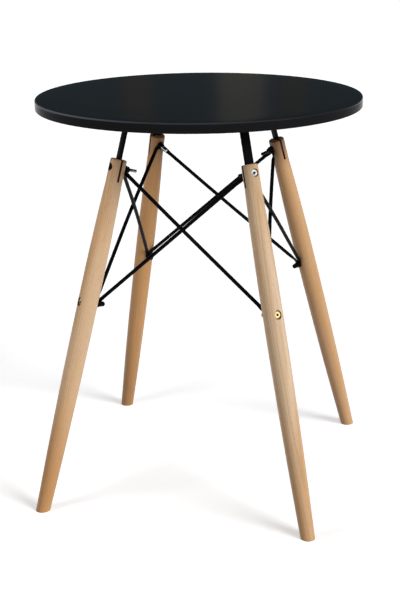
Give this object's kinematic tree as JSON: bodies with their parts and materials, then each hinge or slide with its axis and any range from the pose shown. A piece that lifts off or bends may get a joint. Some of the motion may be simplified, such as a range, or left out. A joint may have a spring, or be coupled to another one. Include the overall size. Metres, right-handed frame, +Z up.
{
  "type": "round table",
  "caption": "Round table with a flat board on splayed tapered dowel legs, slotted onto steel straps and braced by crossed steel rods.",
  "frame": {"origin": "on the floor under the centre of the round top", "axes": "+Z up; the four legs stand on the diagonals of X and Y, and -Y is the front in the picture"},
  "size_m": [0.5999, 0.6, 0.75],
  "materials": {
    "top_black": "satin black lacquer on fibreboard",
    "beech": "clear satin lacquer on turned beech",
    "black_steel": "black powder coat on steel",
    "zinc": "bright zinc plate on steel",
    "brass": "brass-coloured plate"
  },
  "bodies": {
    "root": {"brace_rod_back_left_to_back_right": "black_steel", "brace_rod_back_left_to_front_left": "black_steel", "brace_rod_back_right_to_back_left": "black_steel", "brace_rod_back_right_to_front_right": "black_steel", "brace_rod_front_left_to_back_left": "black_steel", "brace_rod_front_left_to_front_right": "black_steel", "brace_rod_front_right_to_back_right": "black_steel", "brace_rod_front_right_to_front_left": "black_steel", "leg_back_left": "beech", "leg_back_right": "beech", "leg_front_left": "beech", "leg_front_right": "beech", "lower_bolts": "brass", "lower_cap_nuts": "black_steel", "strap_back_left": "black_steel", "strap_back_right": "black_steel", "strap_front_left": "black_steel", "strap_front_right": "black_steel", "strap_screws": "zinc", "table_top": "top_black", "upper_bolts": "zinc", "upper_nuts": "black_steel"}
  },
  "joints": []
}
